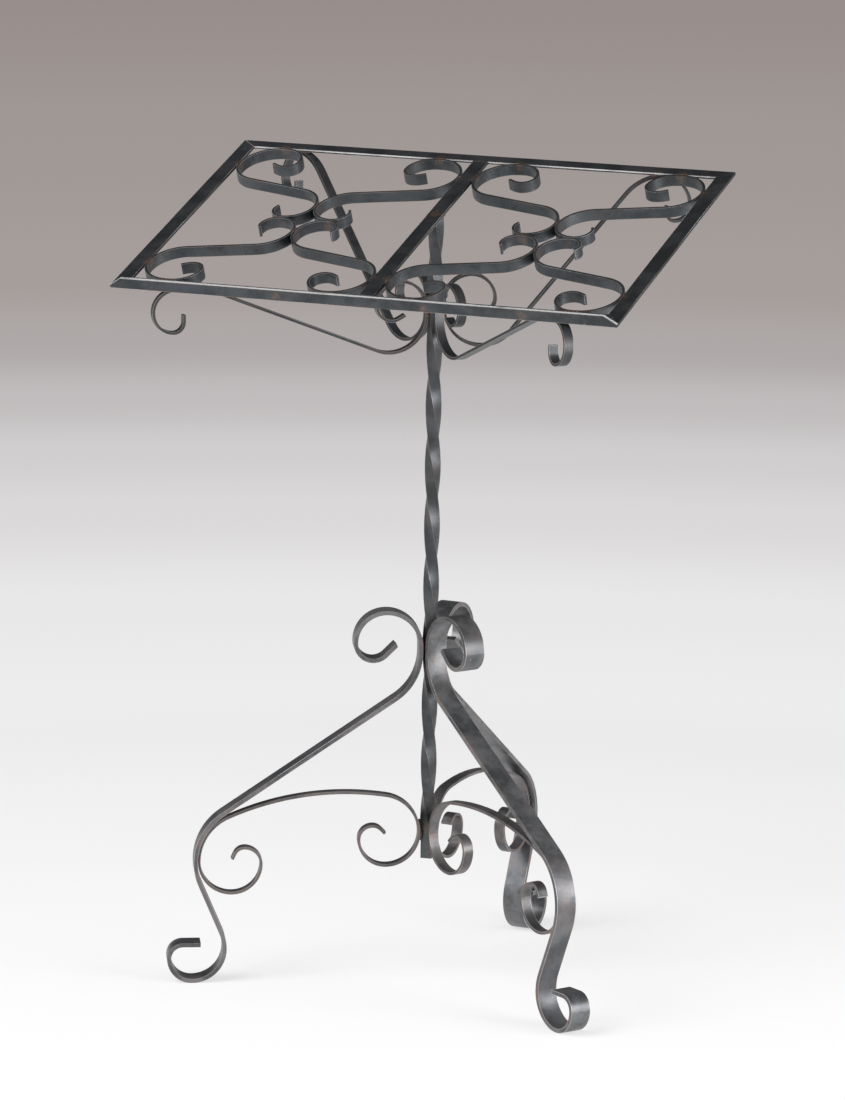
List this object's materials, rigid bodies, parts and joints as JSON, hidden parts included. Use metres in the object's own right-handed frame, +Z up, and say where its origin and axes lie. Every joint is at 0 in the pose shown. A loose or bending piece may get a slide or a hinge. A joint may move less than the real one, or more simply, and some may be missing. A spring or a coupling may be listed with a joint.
{
  "type": "bible stand",
  "caption": "Standing reading desk of scrolled iron bar: a sloping open desk with a book lip, carried by a twisted square post on a tripod of scrolled legs.",
  "frame": {"origin": "on the floor, under the middle of the stand's bounding box", "axes": "+X to the reader's right along the desk's long edges, +Y away from the reader, +Z up along the post"},
  "size_m": [0.61, 0.5024, 0.9313],
  "materials": {
    "post_bar": "blackened and waxed wrought steel, satin, with worn bright edges and brown tints at the welds",
    "leg_bar": "blackened and waxed wrought steel, satin, with worn bright edges and brown tints at the welds",
    "leg_brace_bar": "blackened and waxed wrought steel, satin, with worn bright edges and brown tints at the welds",
    "desk_brace_bar": "blackened and waxed wrought steel, satin, with worn bright edges and brown tints at the welds",
    "scroll_bar": "blackened and waxed wrought steel, satin, with worn bright edges and brown tints at the welds",
    "desk_frame_bar": "blackened and waxed wrought steel, satin, with worn bright edges and brown tints at the welds"
  },
  "bodies": {
    "root": {"book_lip": "desk_frame_bar", "centre_bar": "desk_frame_bar", "desk_brace_back_left": "desk_brace_bar", "desk_brace_back_right": "desk_brace_bar", "desk_brace_front_left": "desk_brace_bar", "desk_brace_front_right": "desk_brace_bar", "leg_back": "leg_bar", "leg_brace_back": "leg_brace_bar", "leg_brace_left": "leg_brace_bar", "leg_brace_right": "leg_brace_bar", "leg_left": "leg_bar", "leg_right": "leg_bar", "post": "post_bar", "rail_far": "desk_frame_bar", "rail_left": "desk_frame_bar", "rail_near": "desk_frame_bar", "rail_right": "desk_frame_bar", "scroll_left_panel_far_left": "scroll_bar", "scroll_left_panel_far_right": "scroll_bar", "scroll_left_panel_near_left": "scroll_bar", "scroll_left_panel_near_right": "scroll_bar", "scroll_right_panel_far_left": "scroll_bar", "scroll_right_panel_far_right": "scroll_bar", "scroll_right_panel_near_left": "scroll_bar", "scroll_right_panel_near_right": "scroll_bar"}
  },
  "joints": []
}
